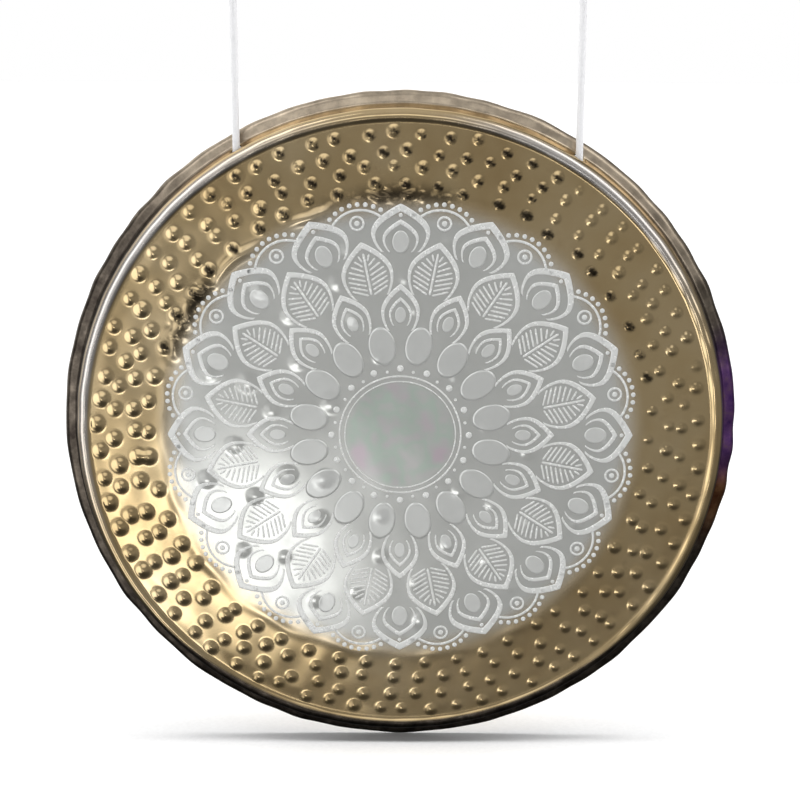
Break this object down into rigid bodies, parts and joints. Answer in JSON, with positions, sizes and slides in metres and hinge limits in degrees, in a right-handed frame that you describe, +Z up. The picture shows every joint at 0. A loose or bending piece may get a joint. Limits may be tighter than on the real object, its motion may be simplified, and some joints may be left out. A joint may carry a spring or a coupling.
{
  "type": "tam tam gong",
  "caption": "Round hammered brass gong with a turned-back rim and a silvered, ornamented face, hung by white cords from S-hooks.",
  "frame": {"origin": "on the axis of the bar that the hooks hang on, straight above the middle of the gong", "axes": "+X along the bar to the viewer's right, +Y away from the struck face, +Z up"},
  "size_m": [0.5079, 0.0448, 0.7145],
  "materials": {
    "hammered_brass": "polished and hammered, the rim left dark, with a heat tint at one side",
    "ornament_white": "satin white line work on the silvered middle of the face",
    "white_cord": "braided polyester",
    "hook_steel": "zinc-plated bent wire"
  },
  "bodies": {
    "hooks": {"left_hook": "hook_steel", "right_hook": "hook_steel"},
    "left_hanger": {"left_cord": "white_cord", "left_loop_knot": "white_cord", "left_rim_knot": "white_cord"},
    "right_hanger": {"right_cord": "white_cord", "right_loop_knot": "white_cord", "right_rim_knot": "white_cord"},
    "gong": {"gong_disc": "hammered_brass"}
  },
  "joints": [
    {"name": "left_cord_swing", "type": "hinge", "parent": "hooks", "child": "left_hanger", "pos_m": [-0.119, 0, -0.054], "axis": [1, 0, 0], "range_deg": [-25, 25]},
    {"name": "right_cord_swing", "type": "hinge", "parent": "hooks", "child": "right_hanger", "pos_m": [0.129, 0, -0.054], "axis": [1, 0, 0], "range_deg": [-25, 25]},
    {"name": "gong_tilt", "type": "hinge", "parent": "left_hanger", "child": "gong", "pos_m": [-0.119, 0, -0.22789], "axis": [0.9997, 0, -0.0239], "range_deg": [-20, 5]}
  ],
  "couplings": [
    {"joint": "right_cord_swing", "follows": "left_cord_swing", "ratio": 1}
  ]
}
